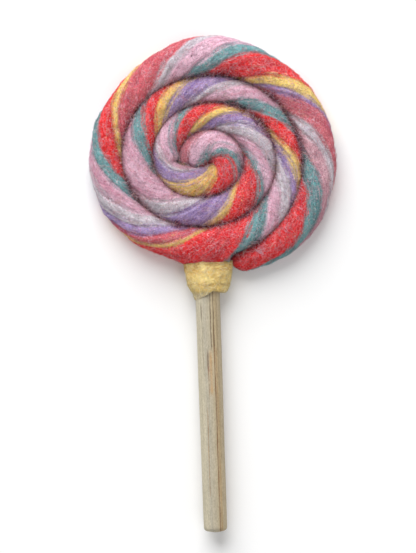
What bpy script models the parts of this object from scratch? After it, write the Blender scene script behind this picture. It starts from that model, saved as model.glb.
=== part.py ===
"""Felted wool toy in the form of a swirl lollipop, lying face up.

One rope of twisted wool is coiled flat into the swirl. A felt collar holds the swirl
on a wooden dowel. The dowel runs along Y, with the swirl at its +Y end.
"""

import math

import bmesh
import bpy
from mathutils import Vector

MM = 0.001

# Rope of the swirl, at every quarter turn of the coil, from just before its inner tip.
# The first value lies straight below the middle, and the coil runs clockwise seen from above.
COIL_RADII_MM = (
    5.6, 5.9, 5.4, 7.4, 7.2, 13.2, 14.9, 18.2, 17.3,
    22.8, 23.8, 27.7, 28.6, 33.4, 34.7, 37.6, 34.2,
)
ROPE_WIDTHS_MM = (
    8.6, 9.0, 10.4, 11.2, 11.6, 10.8, 10.4, 11.7, 11.6,
    11.8, 10.8, 10.6, 13.4, 12.3, 13.9, 12.5, 8.8,
)
# How much flatter the rim is than that, at every eighth of the last turn, from this quarter on.
RIM_TRIMS_MM = (0.0, -0.3, 0.5, 0.4, 2.4, 0.3, 1.4, 0.4, -0.8, 1.6)
RIM_TRIM_QUARTER = 11.5
INNER_TIP_QUARTER = 0.6
OUTER_TIP_QUARTER = 15.8
INNER_TIP_LENGTH = 5.0 * MM
OUTER_TIP_LENGTH = 5.5 * MM
TIP_POINT_SHARE = 0.02
ROPE_STEP = 2.6 * MM
WIDEST_STEP = math.radians(20)
ROPE_BEVEL_RESOLUTION = 7
CAP_WELD = 0.01 * MM

# The rope is pressed flatter towards the rim of the swirl, and all of it rests level.
MIDDLE_SQUASH = 1.05
RIM_SQUASH = 0.90
SWIRL_RADIUS = 41.5 * MM
REST_DEPTH = 0.4 * MM
FLOOR_BLOCK_WIDTH = 3 * SWIRL_RADIUS
FLOOR_BLOCK_DEPTH = 5 * MM

# Where neighbouring turns are felted into one, between the bottoms of the grooves.
WEB_THICKNESS = 2.4 * MM
WEB_HEIGHT = 5.2 * MM
WEB_END_ROOM = 0.1

# The swirl sits a little to the right of the dowel and is turned against it.
SWIRL_OFFSET = 1.0 * MM
SWIRL_TURN = math.radians(2.0)

DOWEL_TOP_DIAMETER = 8.3 * MM
DOWEL_FOOT_DIAMETER = 7.8 * MM
DOWEL_LENGTH = 99.0 * MM
DOWEL_FOOT_BELOW_SWIRL = 123.9 * MM
DOWEL_HEIGHT = 5.5 * MM
DOWEL_SIDES = 32
DOWEL_ROUNDING = 1.2 * MM
DOWEL_ROUNDING_SEGMENTS = 4
RIM_ANGLE = math.radians(50)
SMOOTH_ANGLE = math.radians(45)

# Holes for the dowel: how far below the swirl's middle they start and end.
SOCKET_FOOT_BELOW_SWIRL = 50.0 * MM
SOCKET_END_ROOM = 0.4 * MM
BORE_FOOT_BELOW_SWIRL = 60.0 * MM
BORE_TOP_BELOW_SWIRL = 20.0 * MM

# Oval rings of the collar: height above its foot, width and thickness. The top ones lie in the swirl.
COLLAR_RINGS_MM = (
    (0.0, 10.6, 9.8),
    (0.4, 11.3, 10.1),
    (1.2, 12.3, 10.3),
    (2.5, 13.6, 10.5),
    (5.9, 15.2, 10.3),
    (9.5, 16.2, 9.3),
    (13.2, 16.4, 8.8),
)
COLLAR_OFFSET = 0.6 * MM
COLLAR_FOOT_BELOW_SWIRL = 44.2 * MM
COLLAR_SIDES = 28

GAP = 0.3 * MM
SEAT_FIRST_QUARTER = 10.0
DOWEL_CLEARANCE = 0.25 * MM

WOOL_TONE = (0.62, 0.30, 0.34)
FELT_TONE = (0.62, 0.47, 0.17)
WOOD_TONE = (0.47, 0.40, 0.30)
WOOL_ROUGHNESS = 0.95
WOOD_ROUGHNESS = 0.7


def clear_scene():
    for old in list(bpy.data.objects):
        bpy.data.objects.remove(old, do_unlink=True)


def new_collection(name, hidden=False):
    collection = bpy.data.collections.new(name)
    collection.hide_render = hidden
    bpy.context.scene.collection.children.link(collection)
    return collection


def new_material(name, colour, roughness):
    material = bpy.data.materials.new(name)
    material.use_nodes = True
    shader = material.node_tree.nodes["Principled BSDF"]
    shader.inputs["Base Color"].default_value = (*colour, 1)
    shader.inputs["Roughness"].default_value = roughness
    shader.inputs["Metallic"].default_value = 0
    return material


def object_from(bm, name, collection):
    bmesh.ops.recalc_face_normals(bm, faces=bm.faces)
    mesh = bpy.data.meshes.new(name)
    bm.to_mesh(mesh)
    bm.free()
    obj = bpy.data.objects.new(name, mesh)
    collection.objects.link(obj)
    return obj


def as_cutter(obj):
    obj.hide_render = True
    obj.display_type = "WIRE"
    return obj


def add_boolean(obj, operation, other, fuse_turns=False):
    boolean = obj.modifiers.new(operation.lower() + " " + other.name, "BOOLEAN")
    boolean.operation = operation
    boolean.solver = "EXACT"
    boolean.use_self = fuse_turns
    boolean.object = other


def at_knot(knots, place):
    """Value between numbered knots, on a smooth curve through all of them."""
    last = len(knots) - 1
    start = min(max(int(place), 0), last - 1)
    share = place - start
    here = knots[start]
    there = knots[start + 1]
    slope_here = (there - knots[max(start - 1, 0)]) / 2
    slope_there = (knots[min(start + 2, last)] - here) / 2
    rise = there - here
    cubic = slope_here + slope_there - 2 * rise
    square = 3 * rise - 2 * slope_here - slope_there
    return here + share * (slope_here + share * (square + share * cubic))


def rim_trim(quarter):
    return at_knot(RIM_TRIMS_MM, max(2 * (quarter - RIM_TRIM_QUARTER), 0)) * MM


def coil_radius(quarter):
    """Distance of the rope's middle line from the swirl's middle."""
    return at_knot(COIL_RADII_MM, quarter) * MM - rim_trim(quarter) / 2


def rope_half_width(quarter):
    return (at_knot(ROPE_WIDTHS_MM, quarter) * MM - rim_trim(quarter)) / 2


def coil_place(quarter):
    """Place of the rope's middle line seen from above, with the swirl's middle at the origin."""
    radius = coil_radius(quarter)
    angle = math.radians(90 * quarter - 180) + SWIRL_TURN
    return Vector((radius * math.sin(angle), radius * math.cos(angle), 0))


def coil_quarters(first, last):
    """Places along the coil an even step apart, closer where the coil is tight."""
    places = [first]
    while places[-1] < last:
        angle = min(ROPE_STEP / coil_radius(places[-1]), WIDEST_STEP)
        places.append(places[-1] + math.degrees(angle) / 90)
    places[-1] = last
    return places


def tip_share(distance, length):
    """How much of its full width a rounded tip has at this distance from its end."""
    left = 1 - min(distance / length, 1)
    return max(math.sqrt(1 - left * left), TIP_POINT_SHARE)


def mesh_from_curve(curve, name, collection):
    """Mesh object with the solid that this curve makes, its caps welded on."""
    guide = bpy.data.objects.new(name + "_curve", curve)
    collection.objects.link(guide)
    bpy.context.view_layer.update()
    graph = bpy.context.evaluated_depsgraph_get()
    mesh = bpy.data.meshes.new_from_object(guide.evaluated_get(graph))
    bm = bmesh.new()
    bm.from_mesh(mesh)
    bmesh.ops.remove_doubles(bm, verts=bm.verts, dist=CAP_WELD)
    solid = object_from(bm, name, collection)
    solid.matrix_world = guide.matrix_world
    bpy.data.objects.remove(guide, do_unlink=True)
    bpy.data.meshes.remove(mesh)
    return solid


def squash_at(distance):
    """How flat the rope is pressed at this distance from the swirl's middle."""
    return MIDDLE_SQUASH + (RIM_SQUASH - MIDDLE_SQUASH) * min(distance / SWIRL_RADIUS, 1)


def make_rope(name, collection, swell=0.0, first=INNER_TIP_QUARTER):
    """Solid of the coiled rope, whose neighbouring turns run into each other."""
    quarters = [place for place in coil_quarters(INNER_TIP_QUARTER, OUTER_TIP_QUARTER) if place >= first]
    places = [coil_place(quarter) for quarter in quarters]
    travelled = [0.0]
    for here, there in zip(places, places[1:]):
        travelled.append(travelled[-1] + (there - here).length)

    curve = bpy.data.curves.new(name, "CURVE")
    curve.dimensions = "3D"
    curve.twist_mode = "Z_UP"
    curve.bevel_depth = 1.0
    curve.bevel_resolution = ROPE_BEVEL_RESOLUTION
    curve.use_fill_caps = True
    spline = curve.splines.new("POLY")
    spline.points.add(len(places) - 1)
    for point, quarter, place, distance in zip(spline.points, quarters, places, travelled):
        half_width = rope_half_width(quarter)
        tip = tip_share(distance, INNER_TIP_LENGTH) * tip_share(travelled[-1] - distance, OUTER_TIP_LENGTH)
        point.co = (place.x, place.y, half_width - REST_DEPTH, 1)
        point.radius = half_width * tip + swell
    rope = mesh_from_curve(curve, name, collection)
    for vert in rope.data.vertices:
        vert.co.z *= squash_at(math.hypot(vert.co.x, vert.co.y))
    return rope


def make_web(collection):
    """Flat solid that joins the turns, out to the middle line of the outermost one."""
    curve = bpy.data.curves.new("turn_web", "CURVE")
    curve.dimensions = "2D"
    curve.fill_mode = "BOTH"
    curve.extrude = WEB_THICKNESS / 2
    spline = curve.splines.new("POLY")
    spline.use_cyclic_u = True
    quarters = coil_quarters(OUTER_TIP_QUARTER - 4, OUTER_TIP_QUARTER - WEB_END_ROOM)
    spline.points.add(len(quarters) - 1)
    for point, quarter in zip(spline.points, quarters):
        place = coil_place(quarter)
        point.co = (place.x, place.y, 0, 1)
    web = mesh_from_curve(curve, "turn_web", collection)
    web.location = (0, 0, WEB_HEIGHT)
    return as_cutter(web)


def make_cylinder(name, foot_radius, top_radius, foot, top, collection):
    """Round solid along Y from foot to top, at the height of the dowel's middle."""
    bm = bmesh.new()
    bmesh.ops.create_cone(
        bm,
        cap_ends=True,
        segments=DOWEL_SIDES,
        radius1=foot_radius,
        radius2=top_radius,
        depth=top - foot,
    )
    cylinder = object_from(bm, name, collection)
    cylinder.rotation_euler = (math.radians(-90), 0, 0)
    cylinder.location = (-SWIRL_OFFSET, (foot + top) / 2, DOWEL_HEIGHT)
    return cylinder


def make_floor_cutter(collection):
    """Block below the floor, which gives the underside of the rope its flat resting band."""
    bm = bmesh.new()
    bmesh.ops.create_cube(bm, size=1)
    bmesh.ops.scale(bm, vec=(FLOOR_BLOCK_WIDTH, FLOOR_BLOCK_WIDTH, FLOOR_BLOCK_DEPTH), verts=bm.verts)
    block = object_from(bm, "floor_block", collection)
    block.location = (0, 0, -FLOOR_BLOCK_DEPTH / 2)
    return as_cutter(block)


def dowel_radius_at(y):
    share = (y + DOWEL_FOOT_BELOW_SWIRL) / DOWEL_LENGTH
    return (DOWEL_FOOT_DIAMETER + (DOWEL_TOP_DIAMETER - DOWEL_FOOT_DIAMETER) * share) / 2


def make_dowel(collection):
    foot = -DOWEL_FOOT_BELOW_SWIRL
    dowel = make_cylinder(
        "dowel_stick",
        DOWEL_FOOT_DIAMETER / 2,
        DOWEL_TOP_DIAMETER / 2,
        foot,
        foot + DOWEL_LENGTH,
        collection,
    )
    rounding = dowel.modifiers.new("rounded rims", "BEVEL")
    rounding.width = DOWEL_ROUNDING
    rounding.segments = DOWEL_ROUNDING_SEGMENTS
    rounding.limit_method = "ANGLE"
    rounding.angle_limit = RIM_ANGLE
    return dowel


def make_dowel_cutter(name, foot, top, collection):
    """Hole that the dowel passes through, with a little room all round."""
    return as_cutter(
        make_cylinder(
            name,
            dowel_radius_at(foot) + DOWEL_CLEARANCE,
            dowel_radius_at(top) + DOWEL_CLEARANCE,
            foot,
            top,
            collection,
        )
    )


def make_collar(collection):
    """Felt cuff lofted along Y through oval rings, round at its foot and widest in the swirl."""
    bm = bmesh.new()
    rings = []
    for height, width, thickness in COLLAR_RINGS_MM:
        y = height * MM - COLLAR_FOOT_BELOW_SWIRL
        ring = []
        for side in range(COLLAR_SIDES):
            angle = 2 * math.pi * side / COLLAR_SIDES
            x = COLLAR_OFFSET - SWIRL_OFFSET + width * MM / 2 * math.cos(angle)
            z = DOWEL_HEIGHT + thickness * MM / 2 * math.sin(angle)
            ring.append(bm.verts.new((x, y, z)))
        rings.append(ring)
    for low, high in zip(rings, rings[1:]):
        for side in range(COLLAR_SIDES):
            after = (side + 1) % COLLAR_SIDES
            bm.faces.new((low[side], low[after], high[after], high[side]))
    bm.faces.new(rings[0])
    bm.faces.new(rings[-1])
    return object_from(bm, "felt_collar", collection)


def world_bounds(objects):
    """Lowest and highest corner of these objects with their modifiers."""
    bpy.context.view_layer.update()
    graph = bpy.context.evaluated_depsgraph_get()
    corners = []
    for obj in objects:
        evaluated = obj.evaluated_get(graph)
        corners += [evaluated.matrix_world @ Vector(corner) for corner in evaluated.bound_box]
    low = Vector(min(corner[axis] for corner in corners) for axis in range(3))
    high = Vector(max(corner[axis] for corner in corners) for axis in range(3))
    return low, high


def build():
    clear_scene()
    parts = new_collection("swirl_lollipop")
    cutters = new_collection("cutters", hidden=True)

    swirl = make_rope("felt_swirl", parts)
    rope_seat = as_cutter(make_rope("rope_seat", cutters, swell=GAP, first=SEAT_FIRST_QUARTER))
    web = make_web(cutters)
    floor_block = make_floor_cutter(cutters)
    dowel = make_dowel(parts)
    dowel_top = -DOWEL_FOOT_BELOW_SWIRL + DOWEL_LENGTH
    socket_top = dowel_top + SOCKET_END_ROOM
    socket = make_dowel_cutter("dowel_socket", -SOCKET_FOOT_BELOW_SWIRL, socket_top, cutters)
    bore = make_dowel_cutter("collar_bore", -BORE_FOOT_BELOW_SWIRL, -BORE_TOP_BELOW_SWIRL, cutters)
    collar = make_collar(parts)

    add_boolean(swirl, "UNION", web, fuse_turns=True)
    add_boolean(swirl, "DIFFERENCE", floor_block)
    add_boolean(swirl, "DIFFERENCE", socket)
    add_boolean(rope_seat, "UNION", web, fuse_turns=True)
    add_boolean(collar, "DIFFERENCE", rope_seat)
    add_boolean(collar, "DIFFERENCE", bore)

    finishes = {
        swirl: new_material("twisted_wool", WOOL_TONE, WOOL_ROUGHNESS),
        collar: new_material("yellow_felt", FELT_TONE, WOOL_ROUGHNESS),
        dowel: new_material("pale_wood", WOOD_TONE, WOOD_ROUGHNESS),
    }
    for obj, material in finishes.items():
        obj.data.materials.clear()
        obj.data.materials.append(material)
        obj.data.shade_smooth()
        obj.data.set_sharp_from_angle(angle=SMOOTH_ANGLE)

    # The whole rests on the floor, centred on the origin seen from above.
    low, high = world_bounds((swirl, collar, dowel))
    base = bpy.data.objects.new("lollipop_base", None)
    parts.objects.link(base)
    for obj in (*parts.objects, *cutters.objects):
        if obj is not base:
            obj.parent = base
    base.location = (-(low.x + high.x) / 2, -(low.y + high.y) / 2, 0)


build()
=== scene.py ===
"""Looks of the needle-felted swirl lollipop: twisted wool, a felt collar, a wooden dowel and loose fibres."""

import math

import bpy
import numpy as np
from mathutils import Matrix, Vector


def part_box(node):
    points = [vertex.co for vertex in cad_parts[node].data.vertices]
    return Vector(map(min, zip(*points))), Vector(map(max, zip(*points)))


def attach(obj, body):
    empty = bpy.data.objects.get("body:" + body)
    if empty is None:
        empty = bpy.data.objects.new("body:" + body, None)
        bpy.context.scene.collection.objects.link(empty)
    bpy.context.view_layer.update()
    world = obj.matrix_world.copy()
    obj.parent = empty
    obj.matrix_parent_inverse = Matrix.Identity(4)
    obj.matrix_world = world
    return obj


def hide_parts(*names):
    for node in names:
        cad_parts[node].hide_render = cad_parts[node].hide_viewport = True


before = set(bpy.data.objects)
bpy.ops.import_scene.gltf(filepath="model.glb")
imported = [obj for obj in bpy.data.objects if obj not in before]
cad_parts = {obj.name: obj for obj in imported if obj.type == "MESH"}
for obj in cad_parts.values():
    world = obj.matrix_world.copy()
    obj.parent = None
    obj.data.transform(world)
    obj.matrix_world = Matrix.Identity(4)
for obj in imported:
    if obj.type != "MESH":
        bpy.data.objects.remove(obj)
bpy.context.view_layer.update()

MM = 0.001
BODY = "root"
# Waves of a surface's unevenness: how many, how much their widths differ, and their height
WAVES = 14
WAVE_WIDTHS = (0.75, 1.35)
WAVE_HEIGHT = 0.6

# Where the swirl and the dowel lie, from the solids
DOWEL_LOW, DOWEL_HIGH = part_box("dowel_stick")
DOWEL_X = (DOWEL_LOW.x + DOWEL_HIGH.x) / 2
DOWEL_Z = (DOWEL_LOW.z + DOWEL_HIGH.z) / 2
SWIRL_OFFSET = 1.0 * MM
DOWEL_FOOT_BELOW_SWIRL = 123.9 * MM
MIDDLE = np.array((DOWEL_X + SWIRL_OFFSET, DOWEL_LOW.y + DOWEL_FOOT_BELOW_SWIRL))

# Rope of the swirl, at every quarter turn of the coil, as in the solid
COIL_RADII_MM = (
    5.6, 5.9, 5.4, 7.4, 7.2, 13.2, 14.9, 18.2, 17.3,
    22.8, 23.8, 27.7, 28.6, 33.4, 34.7, 37.6, 34.2,
)
ROPE_WIDTHS_MM = (
    8.6, 9.0, 10.4, 11.2, 11.6, 10.8, 10.4, 11.7, 11.6,
    11.8, 10.8, 10.6, 13.4, 12.3, 13.9, 12.5, 8.8,
)
# How much flatter the rim is than that, at every eighth of the last turn, as in the solid
RIM_TRIMS_MM = (0.0, -0.3, 0.5, 0.4, 2.4, 0.3, 1.4, 0.4, -0.8, 1.6)
RIM_TRIM_QUARTER = 11.5
SWIRL_TURN = math.radians(2.0)
FIRST_QUARTER = 0.85
LAST_QUARTER = 15.85
INNER_TIP = 4.0 * MM
OUTER_TIP = 4.2 * MM
TIP_RINGS = 16
RING_STEP = 0.375 * MM
MIDDLE_SQUASH = 1.05
RIM_SQUASH = 0.90
SWIRL_RADIUS = 41.5 * MM
REST_DEPTH = 0.4 * MM
FLOOR_ROOM = 0.05 * MM
GROOVE_SLIT = 0.06 * MM
COIL_STEPS = 6000
# The rim above the collar: where the rope's outer end lets the turn before it show, in quarters, and how the
# search for the rim's place starts, how many steps it takes and how near it goes to the rope's edge
RIM_HANDOVER = 15.3
RIM_START = 35 * MM
RIM_STEPS = 6
RIM_EDGE = 0.97

# Foot of the rope's inner side in the swirl's middle, as quarter, x and y from the middle: along the nose,
# in the dimple, and along the second turn where it passes below the nose
SEAM_MM = np.array((
    (0.85, -5.6, -1.2), (0.95, -4.9, -2.5), (1.15, -3.0, -3.1), (1.4, -0.9, -2.9), (1.7, 0.8, -2.0),
    (2.0, 1.2, -1.3), (3.85, 1.2, -1.3), (4.1, 0.6, -1.9), (4.3, -0.8, -2.1), (4.5, -3.0, -2.0),
    (4.7, -5.6, -1.7), (4.85, -7.8, -1.0), (5.0, -9.8, 0.1),
))
DIMPLE = np.array((1.2, -1.3)) * MM
DIMPLE_RADIUS = 0.12 * MM
# Within this distance of the dimple the painted shade is darkest
DIMPLE_ROOM = 0.3 * MM
SEAM_LEAVES = (4.95, 5.12)
SEAM_STARTS = 0.35

# Angles round the rope's section, from underneath, over the outer side and the crest, and back
UNDER_START, TOP_START, TOP_END, UNDER_END = -90.0, -22.0, 202.0, 270.0
UNDER_SIDES = 7
TOP_SIDES = 58

# Unevenness of the rope: height and width of its lumps
ROPE_LUMPS = ((0.28, 15.0, 11), (0.16, 5.0, 12), (0.06, 1.7, 13))
STRAND_VALLEY = 0.46 * MM
STRAND_VALLEY_WIDTH = 1.0 * MM

# Dents of the swirl's rim: place along the coil and reach in quarters, and depth in mm
RIM_DENTS = ((12.28, 0.13, 1.1), (12.0, 0.10, 0.4))
DENT_AROUND = (55.0, 25.0)

# Wools of the rope: main tone, and the tone of its darker streaks
WOOLS = {
    "red": ((232, 46, 46), (180, 18, 32)),
    "yellow": ((236, 208, 116), (216, 148, 62)),
    "rose": ((214, 98, 108), (170, 50, 66)),
    "faded rose": ((209, 129, 139), (171, 77, 93)),
    "lilac": ((166, 146, 196), (100, 70, 132)),
    "blush": ((208, 110, 120), (172, 64, 82)),
    "dusty": ((204, 160, 170), (172, 104, 120)),
    "white": ((210, 206, 212), (150, 142, 156)),
    "pink": ((226, 188, 206), (190, 122, 146)),
    "teal": ((108, 166, 168), (62, 90, 96)),
}
# Where each stripe starts on the crest of the rope, in degrees along the coil, turn by turn of the twist
CREST_STRIPES = (
    ("faded rose", -400), ("pink", -80), ("teal", 41),
    ("red", 92), ("yellow", 154), ("lilac", 219), ("white", 256), ("pink", 272), ("teal", 304),
    ("red", 321), ("yellow", 357), ("lilac", 380), ("white", 404), ("pink", 435), ("teal", 457),
    ("red", 472), ("yellow", 508), ("lilac", 526), ("white", 561), ("pink", 587), ("teal", 636),
    ("red", 655), ("yellow", 675), ("lilac", 692), ("white", 720), ("pink", 732), ("teal", 758),
    ("red", 775), ("yellow", 800), ("lilac", 809), ("white", 821), ("pink", 840), ("teal", 855),
    ("red", 870), ("yellow", 917), ("rose", 923), ("lilac", 933), ("white", 943), ("pink", 960),
    ("teal", 978), ("red", 992), ("yellow", 1010), ("rose", 1021), ("white", 1053), ("pink", 1063),
    ("teal", 1081),
    ("red", 1094), ("yellow", 1118), ("lilac", 1129), ("blush", 1135), ("white", 1156), ("dusty", 1164),
    ("teal", 1178), ("red", 1195), ("yellow", 1290),
)
STRIPE_STARTS = np.array([start for _, start in CREST_STRIPES], float)
# How far a stripe runs on along the coil, in degrees, while it crosses a quarter of the rope's section
LEAN_QUARTERS = (0.85, 1.5, 2.0, 2.5, 3.0, 3.5, 5.0, 8.0, 12.0, 14.8, 15.3, 15.8)
LEAN_DEGREES = (270, 205, 128, 85, 75, 64, 53, 38, 28, 23, 32, 50)
# The twist, in turns, along the coil counted in turns: start, steady part and tightening
TWIST_START, TWIST_STEADY, TWIST_TIGHTENING = -0.357, 1.051, 0.434
STRAND_RADIUS = 5.5 * MM
STREAK_STRETCH = 0.14
# Raggedness of the stripes' borders, in the same form as the lumps, and how far their wools mingle
BORDER_RAGS = ((1.1, 6.0, 14), (1.2, 2.4, 15), (0.9, 1.0, 16))
MINGLING = 0.9 * MM
NOSE_END = (1.6, 3.0)
NOSE_MINGLING = 1.6
# How far from a groove its painted shade is reckoned, and how far out of it a groove's skin counts where that
# shade is fainter
GROOVE_ROOM = 4.0 * MM
GROOVE_FADING = 1.1 * MM

# Frizzy hairs in the skin of the wool: scale, width, strength and tone
FRIZZ_LINES = (
    (0.42, 0.018, 0.50, (242, 218, 226)),
    (0.75, 0.020, 0.38, (236, 204, 214)),
    (0.55, 0.018, 0.50, (110, 48, 62)),
)

# How strong the painted shade in the groove on the rope's inner side is at places along the coil: quarter and
# strength
GROOVE_SHADE_STRENGTHS = np.array((
    (0.9, 1.9), (1.5, 1.6), (1.9, 0.8), (3.9, 0.6), (4.5, 1.1), (4.8, 1.0),
    (5.0, 0.40), (5.4, 0.15), (6.2, 0.10), (6.8, 0.60), (7.4, 0.60), (7.8, 0.90), (8.4, 0.60), (9.0, 0.80),
    (9.4, 0.60), (9.9, 1.00), (10.6, 1.45), (11.0, 0.65), (11.8, 1.15), (12.6, 1.10), (13.2, 0.80),
    (13.8, 0.75), (14.6, 1.05), (15.0, 1.00), (15.4, 0.60), (15.8, 0.90),
))

# Hairs in the felt: stations of each, how far round the rope and from its ends they start, how deep they
# are rooted, where their arch ends, how they scatter, their room above the floor, and how thin their tips are
FUZZ_STATIONS = 5
HAIRY_AROUND = (-15, 195)
HAIR_END_ROOM = 0.3 * MM
ROOT_DEPTH = 0.08 * MM
ARCH_END = 0.85
HAIR_SCATTER = 0.05 * MM
HAIR_FLOOR_ROOM = 0.1 * MM
TIP_THICKNESS = 0.55
# How the strength of the hairs' tones differs
HAIR_STRENGTHS = (0.62, 1.15)
STRAY_STRENGTHS = (0.8, 1.08)
COLLAR_HAIR_STRENGTHS = (0.8, 1.1)
# Hairs lying over the swirl: steps of each, how far they sway, how low they may lie, how often they are
# pulled taut, how much they still sag, and how deep their ends sink in
HAIR_STEPS = 6
HAIR_SWAY = 0.6
LOWEST_HAIR = 2.5 * MM
TAUT_STEPS = 10
HAIR_SAG = 0.06 * MM
END_DEPTH = 0.12 * MM
# How far out the long hairs lie, and how many degrees off the way outwards the strands run
STRAY_REACH = 40.5 * MM
STRAND_BEARING = 90 - 42
# Between which quarters hairs bridge the grooves, and at which share of their length they cross them
BRIDGED_QUARTERS = (4.7, 15.7)
BRIDGE_STARTS = (0.25, 0.75)
# How the hairs of each kind curl, how those of a tuft turn and rise, and where along the collar hairs start
STRAY_CURL = 1.0
BRIDGE_CURL = 0.7
TUFT_CURL = 0.5
TUFT_SPREAD = 0.3
TUFT_LIFTS = (0.05, 0.3)
COLLAR_HAIR_CURL = 0.25
COLLAR_HAIR_SHARES = (0.02, 1)
# Tones of the loose hairs, and the painted shade of those in the grooves: the tone it scales to, and the
# distance from a groove and the heights over which it fades
PALE_HAIR = (240, 216, 224)
GROOVE_SHADE = (0.52, 0.34, 0.36)
SHADED_ROOM = 1.6 * MM
SHADED_HEIGHTS = (6.0 * MM, 8.8 * MM)
STRAY_HAIRS = (
    (238, 210, 220), (228, 180, 194), (220, 120, 128), (226, 200, 160), (170, 146, 186), (110, 84, 92),
)
STRAY_SHARES = (0.30, 0.24, 0.20, 0.08, 0.08, 0.10)
COLLAR_HAIRS = ((248, 238, 188), (236, 218, 148), (214, 184, 110), (246, 240, 214))

# Dark specks and the pale tuft beside the rope's outer end, in mm from the swirl's middle
SPECKS_MM = ((-3.8, 34.4), (20.8, -0.7))
TUFT_MM = ((15.6, -30.0), (16.5, -30.6))
SPECK_TONES = ((52, 40, 44), (70, 52, 56))
TUFT_TONES = ((246, 226, 236), (236, 200, 216))

# Oval rings of the felt collar, as height above its foot, width and thickness: as in the solid, with one
# more below for the felt that runs down the dowel
COLLAR_RINGS_MM = np.array((
    (-2.4, 10.0, 9.0), (0.0, 10.6, 9.8), (0.4, 11.3, 10.1), (1.2, 12.3, 10.3), (2.5, 13.6, 10.5),
    (5.9, 15.2, 10.3), (9.5, 16.2, 9.3), (13.2, 16.4, 8.8),
))
COLLAR_X = DOWEL_X + 0.6 * MM
COLLAR_FOOT_Y = MIDDLE[1] - 44.2 * MM
COLLAR_SINK = 0.5 * MM
COLLAR_FOOT_ROUNDING = 0.5 * MM
COLLAR_TOP_HEIGHT = 10.0 * MM
COLLAR_TOP_BELOW_MIDDLE = 34.5 * MM
COLLAR_MEAN_RADIUS = 5.8 * MM
COLLAR_FOOT_WAVES = ((0.35, 4.0, 24),)
COLLAR_DROOP = 2.3 * MM
DROOPING_SIDE = (0.3, -0.9)
COLLAR_RING_SPACING = 1.15
COLLAR_SIDES = 120
COLLAR_OUTER_RINGS = 66
COLLAR_LUMPS = ((0.20, 6.5, 21), (0.08, 2.8, 22), (0.06, 1.2, 23))
BORE_RIM = 0.1 * MM

# Dowel: its radii and rims, and how worn and chipped it is
DOWEL_FOOT_RADIUS = 3.9 * MM
DOWEL_TOP_RADIUS = 4.15 * MM
DOWEL_ROUNDING = 1.35 * MM
DOWEL_SIDES = 96
DOWEL_RINGS = 110
DOWEL_FOOT_CROWN = 0.4 * MM
DOWEL_CAP_RINGS = 10
DOWEL_PLAY = 0.03 * MM
DOWEL_WEAR = ((0.035, 2.5, 31), (0.05, 6.0, 32))
DOWEL_CHIPS = ((0.10, 1.6, 33),)
WEAR_STRETCH = 0.08
DOWEL_WIDTH_MM = 8.1

# Tones across the dowel, and its brown lines: place across, half width, strength, first and last Y in mm,
# and tone
DOWEL_TONES = (
    (0.00, (193, 185, 162)),
    (0.22, (191, 182, 159)),
    (0.42, (176, 168, 150)),
    (0.60, (180, 169, 146)),
    (0.80, (180, 162, 130)),
    (1.00, (182, 168, 142)),
)
DOWEL_LINES = (
    (0.700, 0.040, 0.95, -90, -12, (126, 90, 56)),
    (0.775, 0.050, 0.55, -90, -20, (160, 122, 78)),
    (0.715, 0.034, 0.95, -23, 20, (92, 74, 54)),
    (0.595, 0.034, 0.95, -23, 20, (98, 80, 58)),
    (0.850, 0.030, 0.45, -60, 20, (140, 118, 86)),
    (0.330, 0.028, 0.70, -72, -40, (150, 112, 72)),
    (0.225, 0.030, 0.95, -13.5, -5, (80, 64, 54)),
    (0.240, 0.020, 0.50, -30, -12, (120, 104, 84)),
    (0.540, 0.110, 0.65, -38, -21, (192, 146, 90)),
    (0.425, 0.060, 0.95, -29.5, -21, (96, 72, 52)),
    (0.440, 0.045, 0.90, -31, -26.5, (132, 62, 34)),
    (0.435, 0.026, 0.75, -39, -27, (136, 98, 62)),
    (0.120, 0.022, 0.35, -60, 10, (150, 132, 104)),
)

# Camera and light, the camera over the whole object and leaning with the photograph's stick
CAMERA_LEAN = math.radians(1.96)
CAMERA_HEIGHT = 1.0
OBJECT_PLANE = 8 * MM
PICTURE_HEIGHT = 553 / 3.0 * MM
SENSOR = 36.0
AIM_RIGHT = 0.67 * MM
AIM_DOWN = 38.83 * MM


def smooth_step(low, high, value):
    share = np.clip((value - low) / (high - low), 0, 1)
    return share * share * (3 - 2 * share)


def stacked(*parts):
    """Vectors from their parts."""
    return np.stack(np.broadcast_arrays(*parts), axis=-1)


def raised(flat, height):
    """Points over these places of a plane."""
    return np.concatenate((flat, height[..., None]), axis=-1)


def either_way(draw, count):
    """No turn or half a turn, at random."""
    return np.where(draw.random(count) < 0.5, math.pi, 0)


def unevenness(points, width, seed):
    """Soft random heights, about -1 to 1, with bumps of this width, at points in metres."""
    draw = np.random.default_rng(seed)
    total = np.zeros(points.shape[:-1])
    for _ in range(WAVES):
        heading = draw.normal(size=3)
        heading /= np.linalg.norm(heading)
        rate = 2 * math.pi / (width * draw.uniform(*WAVE_WIDTHS))
        total += np.sin(points @ heading * rate + draw.uniform(0, 2 * math.pi))
    return total * math.sqrt(2 / WAVES) * WAVE_HEIGHT


def lumps(points, layers):
    """Height of several layers of unevenness in metres, each given as height and width in mm and a seed."""
    return sum(height * MM * unevenness(points, width * MM, seed) for height, width, seed in layers)


def at_quarter(knots, quarter):
    """Value at places on the coil, on a smooth curve through the values at its quarter turns."""
    knots = np.asarray(knots, float)
    last = len(knots) - 1
    start = np.clip(np.floor(quarter).astype(int), 0, last - 1)
    share = quarter - start
    here = knots[start]
    there = knots[start + 1]
    slope_here = (there - knots[np.maximum(start - 1, 0)]) / 2
    slope_there = (knots[np.minimum(start + 2, last)] - here) / 2
    rise = there - here
    cubic = slope_here + slope_there - 2 * rise
    square = 3 * rise - 2 * slope_here - slope_there
    return here + share * (slope_here + share * (square + share * cubic))


def rim_trim(quarter):
    return at_quarter(RIM_TRIMS_MM, np.maximum(2 * (quarter - RIM_TRIM_QUARTER), 0)) * MM


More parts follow.
